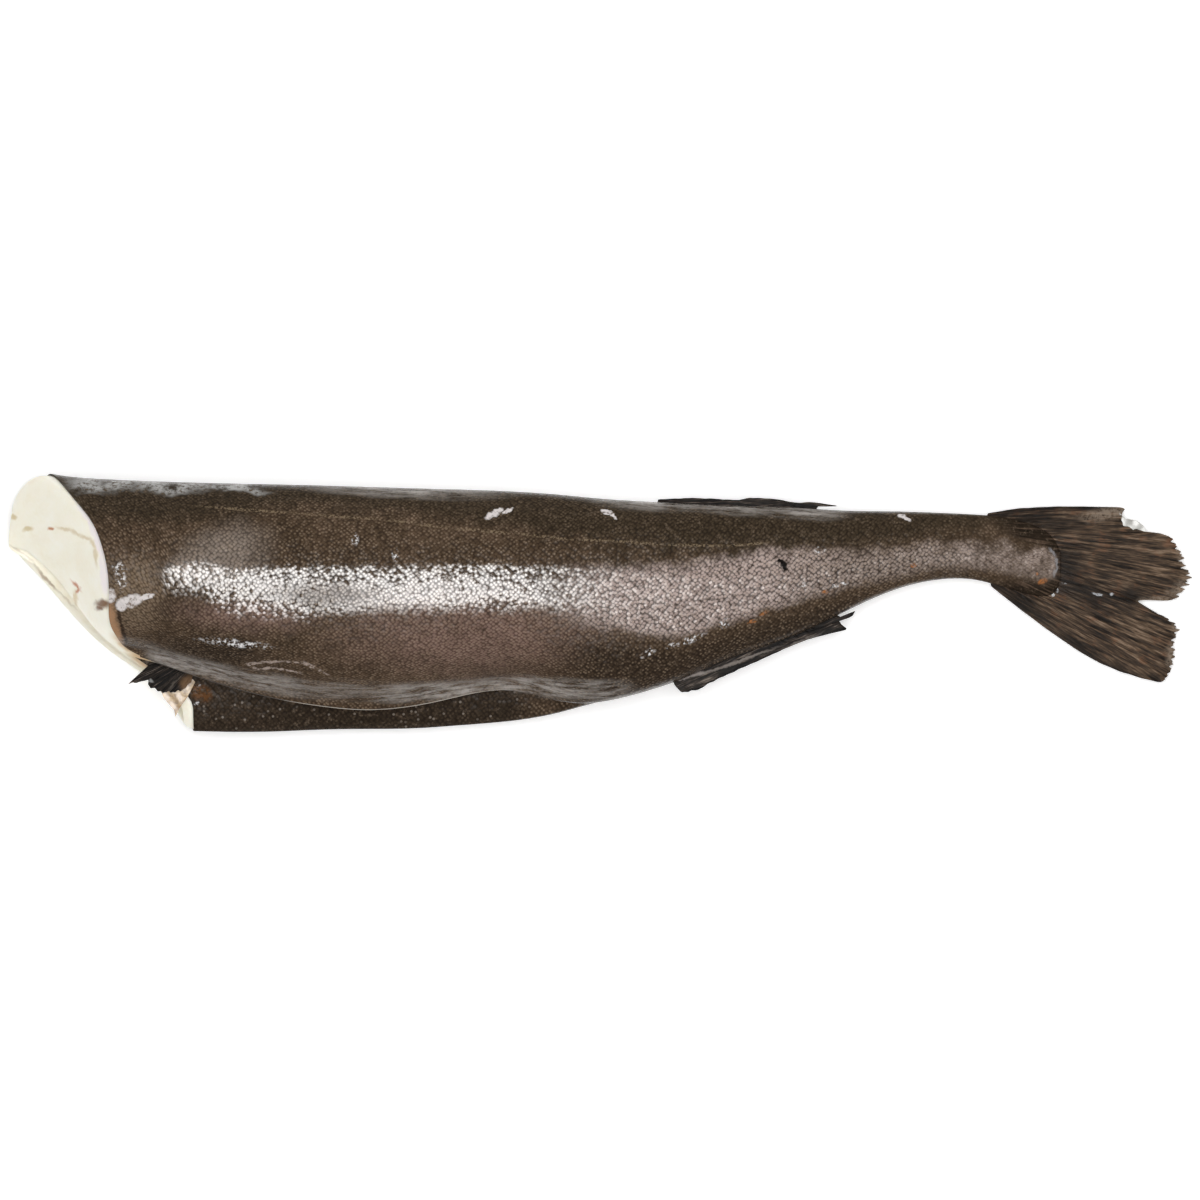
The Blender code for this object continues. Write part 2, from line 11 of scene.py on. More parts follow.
import bpy
import numpy
from mathutils.bvhtree import BVHTree
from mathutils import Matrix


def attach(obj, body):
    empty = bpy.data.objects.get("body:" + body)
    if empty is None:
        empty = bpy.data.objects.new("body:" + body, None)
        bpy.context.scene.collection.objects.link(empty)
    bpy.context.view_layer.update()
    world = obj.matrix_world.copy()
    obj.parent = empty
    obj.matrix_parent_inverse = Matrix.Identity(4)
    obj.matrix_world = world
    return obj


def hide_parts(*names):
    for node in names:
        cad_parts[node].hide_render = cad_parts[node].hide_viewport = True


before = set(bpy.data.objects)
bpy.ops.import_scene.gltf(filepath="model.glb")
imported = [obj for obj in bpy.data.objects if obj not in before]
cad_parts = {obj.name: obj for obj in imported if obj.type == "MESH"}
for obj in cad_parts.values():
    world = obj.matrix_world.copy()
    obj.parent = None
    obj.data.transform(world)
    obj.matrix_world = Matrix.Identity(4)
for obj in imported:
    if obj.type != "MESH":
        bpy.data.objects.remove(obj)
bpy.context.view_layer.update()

# The photograph's scale, and its pixel where the frame's origin shows.
PIXEL = 0.0005
ORIGIN_PIXEL = (601.5, 602.4)
FRAME_PIXELS = 1200
CAMERA_HEIGHT = 5.0
SENSOR = 36.0

# The height over the table at which that scale holds.
OUTLINE_HEIGHT = 0.03

MM = 0.001
JOIN_DISTANCE = 1e-6
# Angles in degrees: the most that two triangles of a quad may bend or skew, and the least of an
# edge that stays sharp when its piece is made finer, and of one that is shaded as sharp.
QUAD_ANGLE = 70
CREASED_EDGE = 55
SHADED_EDGE = 50
# How many times a piece is subdivided.
FINER_LEVELS = 2
# The scales' spacing, and the map of the skin that their rows follow.
SCALE_PITCH = 0.00175
SCALE_MAP = "scale_rows"
# The skin of the far flap lies below this height.
FAR_FLAP_TOP = 0.030
# How near to the body a fin's points are pushed into it, before and after it is made finer.
ROOT_REACH = 0.0009
FINE_ROOT_REACH = 0.0012
ROOT_DEPTH = 0.0008
# The column of the photograph where the tail begins to fray, and how far its margin is drawn in.
FRAY_START = 1140
FRAY_DEPTH = 0.0045
# The rays and threads of the fins: the angle that each takes up, in radians, and how far they
# change with each pixel outwards. Fins hardly shine.
RAY_ANGLE = 0.013
THREAD_ANGLE = 0.005
RAY_CHANGE = 0.0003
MATT_FIN = {"Specular IOR Level": 0.04}
# The torn scraps of membrane.
SCRAP_THICKNESS = 0.0005
SCRAP_RIPPLE = 0.0005
# The table, and the even light all round.
TABLE_SIZE = 8
TABLE_DROP = 0.0004
TABLE_WHITE = (0.97, 0.97, 0.97, 1)
TABLE_GLOW = 0.3
WHITE = (1, 1, 1, 1)
ROOM_LIGHT = 0.45


# ---------------------------------------------------------------- places and shades


def across(px):
    """The X of a column of the photograph, in metres."""
    return (px - ORIGIN_PIXEL[0]) * PIXEL


def up(py):
    """The Y of a row of the photograph, in metres."""
    return (ORIGIN_PIXEL[1] - py) * PIXEL


def shade(red, green, blue):
    """A colour as it looks on a screen, 0 to 255, as the light that a material works with."""
    parts = [part / 255 for part in (red, green, blue)]
    return (*[p / 12.92 if p < 0.04045 else ((p + 0.055) / 1.055) ** 2.4 for p in parts], 1)


# ---------------------------------------------------------------- materials


class Socket:
    """A value or colour in a material; arithmetic on it adds Math nodes."""

    def __init__(self, look, link):
        self.look, self.link = look, link

    def math(self, operation, other=0.0):
        return self.look.node("ShaderNodeMath", {"operation": operation}, {0: self, 1: other})

    def __add__(self, other):
        return self.math("ADD", other)

    def __sub__(self, other):
        return self.math("SUBTRACT", other)

    def __rsub__(self, other):
        return self.math("MULTIPLY", -1.0).math("ADD", other)

    def __mul__(self, other):
        return self.math("MULTIPLY", other)

    def __truediv__(self, other):
        return self.math("DIVIDE", other)

    __radd__ = __add__
    __rmul__ = __mul__

    def out(self, name):
        """Another output of the same node."""
        return Socket(self.look, self.link.node.outputs[name])


class Look:
    """A material being made, with the sorts of nodes that the fish's finishes share."""

    def __init__(self, name, finish):
        self.material = bpy.data.materials.new(name)
        self.material.use_nodes = True
        self.tree = self.material.node_tree
        self.shader = self.tree.nodes["Principled BSDF"]
        for socket, value in finish.items():
            self.shader.inputs[socket].default_value = value
        self.place = self.node("ShaderNodeTexCoord").out("Object")
        parts = self.node("ShaderNodeSeparateXYZ", {}, {0: self.place})
        self.px = parts.out("X") * (1 / PIXEL) + ORIGIN_PIXEL[0]
        self.py = ORIGIN_PIXEL[1] - parts.out("Y") * (1 / PIXEL)
        self.z = parts.out("Z")
        normal = self.node("ShaderNodeNewGeometry").out("Normal")
        facing_up = self.node("ShaderNodeSeparateXYZ", {}, {0: normal}).out("Z")
        self.shown = self.rise(facing_up, -0.05, 0.15)
        self.edge_on = self.rise(facing_up, 0.55, 0.2)

    def node(self, kind, settings=None, sockets=None):
        """Adds a node: its settings first, then the values or links of its sockets."""
        made = self.tree.nodes.new(kind)
        for name, value in (settings or {}).items():
            if name == "stops":
                self.set_stops(made.color_ramp, value)
            else:
                setattr(made, name, value)
        for key, value in (sockets or {}).items():
            if isinstance(value, Socket):
                self.tree.links.new(value.link, made.inputs[key])
            else:
                made.inputs[key].default_value = value
        return Socket(self, made.outputs[0])

    @staticmethod
    def set_stops(ramp, stops):
        while len(ramp.elements) < len(stops):
            ramp.elements.new(0.5)
        for element, (place, colour) in zip(ramp.elements, stops):
            element.position = place
            element.color = colour

    def noise(self, size, detail=3.0, roughness=0.55, source=None, stretch=None):
        """Soft noise from 0 to 1 with patches about size across."""
        vector = source or self.place
        if stretch:
            vector = self.node("ShaderNodeMapping", {}, {"Vector": vector, "Scale": stretch})
        sockets = {"Vector": vector, "Scale": 1 / size, "Detail": detail, "Roughness": roughness}
        return self.node("ShaderNodeTexNoise", {}, sockets)

    def vector_math(self, operation, *vectors):
        kind = {"operation": operation}
        return self.node("ShaderNodeVectorMath", kind, dict(enumerate(vectors)))

    def wobbled(self, size, reach):
        """The place on the surface, moved about by up to reach in patches of size."""
        push = self.noise(size, 2.0).out("Color")
        centred = self.vector_math("SUBTRACT", push, (0.5, 0.5, 0.5))
        scaled = self.vector_math("MULTIPLY", centred, (2 * reach,) * 3)
        return self.vector_math("ADD", self.place, scaled)

    def rise(self, value, low, high):
        """0 at low and 1 at high, with a smooth rise between them."""
        how = {"interpolation_type": "SMOOTHSTEP"}
        return self.node("ShaderNodeMapRange", how, {0: value, 1: low, 2: high, 3: 0.0, 4: 1.0})

    def blend(self, under, over, share):
        """One colour over another, by a share from 0 to 1."""
        how = {"data_type": "RGBA"}
        mixed = self.node("ShaderNodeMix", how, {0: share, 6: under, 7: over})
        return Socket(self, mixed.link.node.outputs[2])

    def lay(self, tint, share):
        """Lays a shade, or a colour made here, over the colour so far."""
        over = tint if isinstance(tint, Socket) else shade(*tint)
        self.colour = self.blend(self.colour, over, share)

    def ramp(self, value, stops):
        """The colour that lies at this value between stops of (value, colour)."""
        return self.node("ShaderNodeValToRGB", {"stops": stops}, {0: value})

    def tones(self, value, shades):
        """A colour that goes from shade to shade as the value rises."""
        return self.ramp(value, [(place, shade(*tint)) for place, tint in shades])

    def course(self, points):
        """The row, at this column of the photograph, of a line through places in it."""
        start, end = points[0][0], points[-1][0]
        stops = [((x - start) / (end - start), (y / FRAME_PIXELS,) * 3 + (1,)) for x, y in points]
        row = self.ramp((self.px - start) / (end - start), stops)
        return self.node("ShaderNodeSeparateColor", {}, {0: row}) * FRAME_PIXELS

    def spot(self, px, py, long, wide, turn=0.0, soft=0.35, source=None):
        """1 in an oval in the photograph: its half sizes in pixels, turned by degrees."""
        sockets = {
            "Vector": source or self.place,
            "Location": (across(px), up(py), 0),
            "Rotation": (0, 0, math.radians(turn)),
            "Scale": (long * PIXEL, wide * PIXEL, 10),
        }
        local = self.node("ShaderNodeMapping", {"vector_type": "TEXTURE"}, sockets)
        distance = self.vector_math("LENGTH", local).out("Value")
        return self.rise(distance, 1 + soft, 1 - soft)

    def spots(self, places, **how):
        """1 in any of several ovals."""
        masks = [self.spot(*place, **how) for place in places]
        joined = masks[0]
        for mask in masks[1:]:
            joined = joined.math("MAXIMUM", mask)
        return joined

    def line(self, points, wide, soft=0.5, source=None):
        """1 along a line through places in the photograph, wide in its pixels."""
        masks = []
        for (x0, y0), (x1, y1) in zip(points, points[1:]):
            long = math.hypot(x1 - x0, y1 - y0) / 2 + wide / 2
            turn = -math.degrees(math.atan2(y1 - y0, x1 - x0))
            masks.append(((x0 + x1) / 2, (y0 + y1) / 2, long, wide / 2, turn))
        return self.spots(masks, soft=soft, source=source)

    def wear(self, height, roughness=None, wet=None):
        """Links the colour, and a relief in millimetres, to the shader; dry skin hardly shines."""
        relief = {"Height": height, "Distance": MM, "Strength": 1.0}
        normal = self.node("ShaderNodeBump", {}, relief)
        shaders = [self.shader]
        if wet:
            finish = {"Specular IOR Level": 0.0, "Roughness": 0.7}
            dry = self.node("ShaderNodeBsdfPrincipled", {}, finish)
            shiny = Socket(self, self.shader.outputs[0])
            worn = self.node("ShaderNodeMixShader", {}, {0: wet, 1: dry, 2: shiny})
            self.tree.links.new(worn.link, self.tree.nodes["Material Output"].inputs["Surface"])
            shaders.append(dry.link.node)
        for shader in shaders:
            self.tree.links.new(self.colour.link, shader.inputs["Base Color"])
            self.tree.links.new(normal.link, shader.inputs["Normal"])
        if roughness:
            self.tree.links.new(roughness.link, self.shader.inputs["Roughness"])
        return self.material


# Marks read off the photograph. An oval is (x, y, half length, half width, turn in degrees), and a
# line is the places that it goes through.
FROST = (
    (92, 486, 20, 6, -4), (172, 486, 34, 6.5, -3), (118, 484, 14, 4, 0), (236, 488, 30, 4, -3),
)
WHITE_SCRAPES = (
    (114, 596, 5, 7, 0), (125, 605, 6, 6, 0), (135, 601, 10, 6, 14), (149, 597, 9, 2.6, 14),
    (493, 515, 8, 3, 30), (499, 511, 5, 2.4, 20), (508, 511, 6, 1.6, 28),
    (606, 512, 4.5, 1.8, -14), (613, 516, 5, 1.6, -40), (902, 516, 4, 2, -10),
    (908, 519, 3.5, 1.6, -30),
)
TORN_STRIP = ((112, 609), (113, 622), (119, 636))
TORN_EDGE = ((121, 609), (124, 624), (128, 642))
PALE_SCUFF = ((249, 664), (262, 662), (285, 661), (305, 662), (318, 668), (329, 674))
SCUFF_FOOT = ((249, 664), (258, 669), (276, 668), (300, 672))
LATERAL_LINE = (
    (204, 507), (300, 514), (384, 520), (455, 529), (518, 534), (571, 540), (610, 541), (665, 545),
    (728, 546), (766, 543),
)
ORANGE_SPECKS = (
    (752, 622, 5, 1.6, 22), (764, 613, 5, 1.6, 30), (826, 592, 4, 2, 0), (914, 565, 3, 2, 0),
    (1045, 581, 5, 2.6, 20), (1038, 574, 2.5, 1.5, 0),
)
# Mostly painted glints, white specks where the wet skin catches the light, and a few white flecks.
GLINTS_AND_FLECKS = (
    (648, 653, 7, 3, 30), (672, 645, 6, 2, 20), (690, 640, 14, 2.6, 22), (724, 623, 5, 4, 20),
    (838, 585, 12, 1.6, 12), (803, 585, 3, 2, 0), (820, 550, 5, 3, 0), (238, 643, 32, 3.4, -6),
    (197, 686, 3, 1.6, 30), (195, 704, 4, 2, 20), (123, 570, 6, 7, 0), (125, 583, 5, 8, 0),
    (357, 540, 3, 5, -10), (397, 556, 3, 6, -10),
)
BROWN_NOTCH = ((106, 605, 6, 4, 0), (101, 607, 3, 3, 0))
DARK_BLOTCH = ((783, 565, 3, 6, 20), (780, 561, 4, 2, 0))
TAN_PATCH = ((201, 693, 11, 8, -30),)
# A painted sheen along the rim of the body's end, where it lies on the tail.
BODY_END_RIM_SHEEN = ((1052, 549), (1058, 556), (1059, 566), (1056, 575))
# The skin's browns, and soft zones on it as (places, softness, shade, strength).
SKIN_BROWNS = ((0.1, (52, 42, 32)), (0.5, (80, 65, 51)), (0.9, (110, 91, 75)))
SKIN_ZONES = (
    (((226, 556, 42, 25, 20), (196, 568, 22, 16, 0)), 0.6, (150, 138, 128), 0.6),
    (((138, 594, 24, 32, 0),), 0.7, (150, 130, 108), 0.4),
    (((214, 652, 50, 14, -4),), 0.7, (44, 37, 31), 0.6),
)
WARM_FLANK = ((470, 634, 110, 34, 0), (250, 616, 60, 14, -4))
DIM_IN_BAND = (330, 595, 46, 9, 0)
DIM_IN_SHEEN = (336, 690, 50, 20, 0)
# Columns of the photograph over which a finish of the skin sets in, or fades out where the higher
# one comes first.
# The stretch of painted sheen on the rear flank, and the painted shade below it.
SHEEN_STRETCH_START = (540, 640)
SHEEN_STRETCH_DULLED = (740, 860)
SHEEN_STRETCH_MOTTLED = (850, 950)
TURNED_SHADE_START = (530, 610)
TUCKED_END = (560, 500)
ROOTS_START = (985, 1025)
BODY_END = (1055, 1060)
SCALES_FAINTER = (900, 1030)
SCALE_RELIEF_END = (1045, 1005)
FLAP_SHEEN_START = (140, 160)
FLAP_SHEEN_END = (645, 600)
WET_START = (164, 172)
WET_DIMMED = (520, 640)
WET_END = (1010, 960)
TURNED_END = (1020, 940)
# Rows over which the far flap's skin sets in, and heights from which the near flank is wet.
TUCKED_ROWS = (655, 672)
WET_HEIGHTS = (0.005, 0.009)
# The cut flesh: its creams, its white fat, its lines as (places, width, shade, strength), its
# spots as (places, shade, strength), and the columns, rows and heights of the near flap's edge.
FLESH_CREAMS = ((0.25, (246, 238, 214)), (0.5, (252, 247, 229)), (0.75, (255, 252, 240)))
FAT_BAND = ((84, 508), (94, 519), (100, 536), (107, 556), (109, 590))
SEAM = ((60, 528), (73, 531), (83, 536), (94, 540), (98, 548), (99.5, 564))
FLAP_CREASE_SHADE = ((8, 545), (22, 555), (31, 562), (40, 575), (54, 589), (73, 608))
FLESH_LINES = (
    (SEAM, 3.6, (206, 184, 138), 0.6),
    (((73, 582), (80, 589), (77, 592)), 3.2, (186, 106, 48), 0.95),
    # Painted shade along the crease where the flap folds over.
    (FLAP_CREASE_SHADE, 2.4, (198, 188, 168), 0.6),
    (((38, 573), (46, 582), (52, 588)), 3.4, (160, 132, 100), 0.6),
)
FLESH_SPOTS = (
    (((27, 529, 5, 2.4, 10), (12, 517, 3.5, 2.5, 0), (75, 598, 2.4, 7, 0)), (204, 180, 120), 0.7),
    (((51, 529, 3, 1.8, 0),), (190, 120, 62), 0.9),
    (((106, 604, 8, 4, 0), (102, 608, 4, 3, 0)), (118, 80, 46), 0.95),
    (((143, 660, 16, 7, -35), (126, 645, 14, 4, -40)), (206, 168, 116), 0.8),
)
LIP_START = (146, 158)
LIP_PALER = (270, 310)
LIP_ROWS = (655, 662)
LIP_HEIGHTS = (0.023, 0.025)
# The tail: where its rays come from, its browns, and the skin's over their roots; its dark places
# and edges, its pale tips, and its glints.
TAIL_CENTRE = (885, 520)
TAIL_BROWNS = (
    (0.15, (24, 19, 15)), (0.42, (58, 46, 36)), (0.62, (86, 69, 54)), (0.95, (140, 118, 98)),
)
ROOT_BROWNS = ((0.3, (24, 20, 16)), (0.6, (50, 41, 33)), (0.8, (88, 72, 60)))
TAIL_DARK = (
    (1040, 518, 34, 9, -8), (1070, 566, 16, 22, 0), (1086, 590, 34, 10, -14),
    (1132, 596, 22, 8, -14), (1168, 614, 26, 5, -28), (1020, 600, 40, 9, -30),
)
TAIL_EDGE = ((996, 515), (1026, 508), (1070, 506), (1112, 507))
TAIL_FOOT = ((990, 580), (1020, 598), (1060, 632), (1100, 662), (1140, 680))
TAIL_PALE = (
    (1108, 514, 24, 6, 4), (1190, 556, 6, 20, 14), (1186, 590, 14, 8, 10), (1160, 600, 14, 4, 0),
    (1182, 632, 6, 10, 0), (1178, 658, 6, 14, 0),
)
TAIL_GLINTS = (
    (1100, 594, 6, 1.6, -10), (1114, 594, 2, 1.6, 0), (1058, 590, 3, 1.6, -40),
    (1066, 583, 3, 1.2, -30),
)
# Grey sheens, along the foot of the near flap and along the back.
FLAP_SHEEN = (
    (150, 656), (200, 669), (250, 680), (300, 688), (340, 690), (400, 693), (470, 690), (520, 685),
    (580, 690), (640, 690),
)
BACK_SHEENS = (((345, 489), (475, 493)), ((620, 502), (700, 504), (780, 510), (830, 513)))
# The wet band on the near flank, as rows along the body.
WET_TOP = (
    (150, 575), (174, 567), (203, 562), (231, 569), (292, 567), (400, 566), (500, 565), (620, 570),
    (700, 580), (800, 575), (900, 556), (1000, 550),
)
WET_FOOT = (
    (150, 584), (196, 590), (208, 594), (221, 608), (244, 614), (306, 614), (350, 608), (400, 606),
    (500, 606), (540, 604), (590, 610), (680, 634), (720, 624), (800, 600), (900, 574), (1000, 572),
)
# The other fins: where their rays come from, their browns, and marks, a painted glint and
# painted highlights as (place, shade, strength).
BACK_FIN_CENTRE = (560, 505)
FRONT_BACK_FIN_CENTRE = (160, 505)
UNDER_FIN_CENTRE = (520, 760)
FLAP_FIN_CENTRE = (220, 640)
FIN_BROWNS = (
    (0.15, (10, 8, 7)), (0.42, (26, 22, 19)), (0.62, (50, 42, 36)), (0.92, (132, 120, 110)),
)
FIN_MARKS_AND_GLINTS = (
    ((189, 682, 7, 9, -50), (124, 94, 66), 0.8),
    # A painted glint on the pelvic fin.
    ((151, 681, 2.4, 1.6, 0), (170, 170, 168), 0.7),
    ((144, 667, 1.4, 4, -50), (130, 128, 124), 0.6),
    ((172, 686, 1, 6, -30), (96, 88, 80), 0.6),
    # Painted highlights along the anal fin's upper edge.
    ((690, 676, 20, 1.6, 14), (170, 160, 154), 0.7),
    ((740, 661, 34, 1.4, 20), (150, 140, 132), 0.6),
    ((800, 642, 20, 1.4, 22), (130, 122, 116), 0.6),
)
# The body's end lies on the tail like a tongue, between these two edges.
TONGUE_TOP = ((980, 522), (1005, 536), (1030, 543), (1046, 547), (1060, 560))
TONGUE_FOOT = ((980, 582), (1005, 577), (1030, 578), (1046, 580), (1060, 573))
# Where the painted sheen on the rear flank's pale stretch begins and ends, and the dark back
# ends, as rows along the body.
SHEEN_STRETCH_TOP = (
    (520, 562), (600, 567), (690, 566), (760, 552), (850, 552), (905, 548), (940, 542),
    (985, 543), (1026, 550), (1060, 554),
)
SHEEN_STRETCH_FOOT = (
    (520, 612), (590, 627), (680, 636), (720, 624), (760, 611), (800, 597), (850, 586), (900, 575),
    (940, 567), (1000, 570), (1060, 580),
)
DARK_BACK_FOOT = (
    (60, 520), (180, 524), (300, 508), (420, 514), (520, 532), (640, 548), (760, 554), (850, 549),
    (905, 539), (960, 529), (1060, 524),
)
# The torn scraps' outlines, and the heights of their lower and upper edges in the photograph.
FLAP_SCRAP = (
    (160, 689), (163, 698), (173.6, 710), (175, 717), (179, 708), (187, 697), (195, 682),
    (185, 672), (166, 676),
)
FLAP_SCRAP_HEIGHTS = (0.0235, 0.0275)
TAIL_SCRAP = (
    (1122, 512), (1128, 518), (1139, 520), (1147, 526), (1149, 531), (1138, 533), (1124, 530),
)
TAIL_SCRAP_HEIGHTS = (0.0035, 0.0045)


def ray_pattern(look, centre):
    """Rays that fan out from a place in the photograph, as a tone about 0.5, and their threads."""
    out_x, out_y = look.px - centre[0], centre[1] - look.py
    angle = out_y.math("ARCTAN2", out_x)
    reach = (out_x * out_x + out_y * out_y).math("SQRT")
    fan = look.node("ShaderNodeCombineXYZ", {}, {0: angle, 1: reach * RAY_CHANGE, 2: 0.0})
    rays = look.noise(RAY_ANGLE, 3.0, 0.6, source=fan)
    threads = look.noise(THREAD_ANGLE, 2.0, 0.6, source=fan)
    return 0.5 + (rays - 0.5) * 1.9 + (threads - 0.5) * 1.1, threads


class SkinLook(Look):
    """Wet dark skin: brown zones, painted sheens and shade, small scales, and the scrapes it took.
    """

    def __init__(self):
        super().__init__("wet_scaly_skin", {"IOR": 1.45})
        self.find_scales()
        self.ragged, self.loose = self.wobbled(0.0026, 0.0013), self.wobbled(0.016, 0.006)
        self.clouds, self.patches = self.noise(0.045, 4.0, 0.6), self.noise(0.010, 4.0, 0.65)
        self.grain = self.noise(0.0024, 3.0, 0.7)
        self.stray_row = self.py + (self.patches - 0.5) * 26

    def find_scales(self):
        """The scales: the way from the middle of each, a chance for each, its flat top and lean."""
        rows = self.node("ShaderNodeUVMap", {"uv_map": SCALE_MAP})
        scale = (1 / SCALE_PITCH,) * 3
        turn = {"Vector": rows, "Rotation": (0, 0, math.radians(45)), "Scale": scale}
        lattice = self.node("ShaderNodeMapping", {}, turn)
        sockets = {"Vector": lattice, "Scale": 1.0, "Randomness": 0.6}
        cell = self.node("ShaderNodeTexVoronoi", {"voronoi_dimensions": "2D"}, sockets)
        offset = self.vector_math("SUBTRACT", lattice, cell.out("Position"))
        lean = self.vector_math("SUBTRACT", cell.out("Color"), (0.5, 0.5, 0.5))
        self.tilt = self.vector_math("DOT_PRODUCT", offset, lean).out("Value")
        self.chance = self.node("ShaderNodeSeparateColor", {}, {0: cell.out("Color")})
        self.distance = cell.out("Distance")
        self.flat_top = self.rise(self.distance, 0.62, 0.3)

    def lay_browns(self):
        """The skin's own brown, darker on the back, and warmer low on the flank."""
        tone = 0.5 + (self.clouds - 0.5) * 0.7 + (self.patches - 0.5) * 0.9
        self.colour = self.tones(tone, SKIN_BROWNS)
        self.back = self.rise(self.stray_row - self.course(DARK_BACK_FOOT), 14, -14)
        self.lay((56, 48, 37), self.back * 0.75)
        for places, soft, tint, strength in SKIN_ZONES:
            zone = self.spots(places, soft=soft, source=self.loose)
            self.lay(tint, zone * self.shown * strength)
        warm = self.spots(WARM_FLANK, soft=0.7, source=self.loose) * self.shown
        self.lay((126, 102, 92), warm * (0.1 + self.patches * 1.25))

    def lay_rear_flank_sheen_and_shade(self):
        """Painted sheen on the rear flank's pale stretch, and painted shade below it."""
        below = self.stray_row - self.course(SHEEN_STRETCH_FOOT)
        pale = self.rise(self.stray_row - self.course(SHEEN_STRETCH_TOP), -8, 8)
        pale = pale * self.rise(below, 7, -7) * self.rise(self.px, *SHEEN_STRETCH_START) * self.shown
        mottles = self.rise(self.px, *SHEEN_STRETCH_MOTTLED) * self.rise(self.patches, 0.58, 0.4)
        self.pale = pale * (1 - mottles * 0.4)
        # The painted sheen: pinkish grey, duller towards the tail, broken up by grain.
        fading = self.rise(self.px, *SHEEN_STRETCH_DULLED)
        tint = self.blend(shade(182, 164, 157), shade(148, 133, 124), fading)
        self.lay(tint, self.pale * (0.45 + self.patches * 0.85))
        self.lay((92, 74, 62), self.pale * self.rise(self.grain, 0.5, 0.64) * 0.55)
        self.lay((226, 212, 206), self.pale * self.rise(self.grain, 0.44, 0.32) * 0.5)
        # Painted shade where the flank turns down, away from the light.
        turned_shade = self.rise(below, 4, 26) * self.rise(self.px, *TURNED_SHADE_START) * self.shown
        self.lay((54, 44, 35), turned_shade * 0.85)

    def lay_far_flap_shade(self):
        """Painted shade on the far flap's dark skin, tucked in below the near flap."""
        low = self.rise(self.z, FAR_FLAP_TOP, FAR_FLAP_TOP - 0.006)
        self.tucked = low * self.rise(self.py, *TUCKED_ROWS) * self.rise(self.px, *TUCKED_END)
        self.lay((46, 39, 32), self.tucked * 0.8)

    def lay_ray_roots(self):
        """Past the body's end the skin runs out over the roots of the tail's rays."""
        past_end = self.rise(self.course(TONGUE_TOP) - self.py, -3, 5)
        past_end = past_end.math("MAXIMUM", self.rise(self.py - self.course(TONGUE_FOOT), -2, 7))
        past_end = past_end.math("MAXIMUM", self.rise(self.px, *BODY_END))
        past_end = past_end * self.rise(self.px, *ROOTS_START)
        rays, _ = ray_pattern(self, TAIL_CENTRE)
        self.lay(self.tones(rays, ROOT_BROWNS), past_end * 0.9)
        self.scaled = (1 - past_end * 0.85) * (1 - self.rise(self.px, *SCALES_FAINTER) * 0.5)

    def lay_scales(self):
        """A dark gap round each scale, a light dot on some, and specks on the far flap."""
        self.gap = self.rise(self.distance, 0.3, 0.62) * self.scaled
        self.lay((28, 22, 18), self.gap * (0.5 + self.pale * 0.2))
        dot = self.rise(self.distance, 0.42, 0.1) * self.rise(self.chance.out("Green"), 0.15, 0.9)
        strength = self.patches * 0.5 - self.back * 0.16 + self.pale * 0.05 - self.tucked * 0.2
        self.lay((176, 154, 130), dot * self.scaled * strength)
        chosen = self.rise(self.chance.out("Red"), 0.93, 0.96)
        speck = chosen * self.rise(self.distance, 0.45, 0.25) * self.tucked
        self.lay((150, 140, 130), speck * 0.5)

    def lay_sheens(self):
        """Streaky grey sheens along the near flap's foot and the back, and the skin's grain."""
        streaks = self.rise(self.noise(0.003, 4.0, 0.7, stretch=(0.14, 1, 1)), 0.3, 0.7)
        sheen = self.rise((self.py - self.course(FLAP_SHEEN)).math("ABSOLUTE"), 14, 3)
        sheen = sheen * self.rise(self.px, *FLAP_SHEEN_START) * self.rise(self.px, *FLAP_SHEEN_END)
        sheen = sheen * (1 - self.tucked) * (1 - self.spot(*DIM_IN_SHEEN, soft=0.6) * 0.5)
        for places in BACK_SHEENS:
            sheen = sheen.math("MAXIMUM", self.line(places, 13, 0.8))
        self.lay((172, 166, 160), sheen * self.shown * streaks * 0.9)
        self.lay((26, 22, 18), self.rise(self.grain, 0.5, 0.75) * 0.45)
        self.lay((140, 122, 104), self.rise(self.grain, 0.46, 0.28) * 0.3)

    def mark(self, mask, tint, strength=1.0, grains=None):
        """Lays a mark where the skin shows; grains is the range of grain that breaks it up."""
        if grains:
            mask = mask * self.rise(self.grain, *grains)
        self.lay(tint, mask * self.shown * strength)

    def lay_marks(self):
        """Frost, lateral line, scuffs, torn strip by the head cut, specks, painted glints and rim
        sheen.
        """
        # A painted sheen along the rim of the body's end.
        rim_sheen = self.line(BODY_END_RIM_SHEEN, 2.4, source=self.ragged)
        self.mark(rim_sheen, (150, 148, 150), 0.7, (0.35, 0.55))
        frost = self.spots(FROST, soft=0.7, source=self.loose) * self.rise(self.patches, 0.3, 0.5)
        self.mark(frost, (178, 177, 174), 0.9, (0.32, 0.54))
        dots = self.rise(self.noise(0.0011, 1.0), 0.45, 0.6)
        self.mark(self.line(LATERAL_LINE, 2.6, soft=0.6) * dots, (140, 122, 98), 0.65)
        scuff = self.line(PALE_SCUFF, 2.6, source=self.ragged)
        scuff = scuff.math("MAXIMUM", self.line(SCUFF_FOOT, 2.6, source=self.ragged))
        self.mark(scuff, (176, 160, 150), 0.8, (0.38, 0.6))
        torn = self.line(TORN_STRIP, 12.0, source=self.ragged)
        self.mark(torn * self.rise(self.patches, 0.2, 0.42), (166, 129, 98), 0.9)
        self.mark(self.line(TORN_EDGE, 3.4, source=self.ragged), (40, 28, 20), 0.8)
        self.mark(self.spots(BROWN_NOTCH, source=self.ragged), (84, 56, 38), 0.9)
        orange = self.spots(ORANGE_SPECKS, source=self.ragged)
        self.mark(orange, (176, 112, 62), 0.75, (0.42, 0.6))
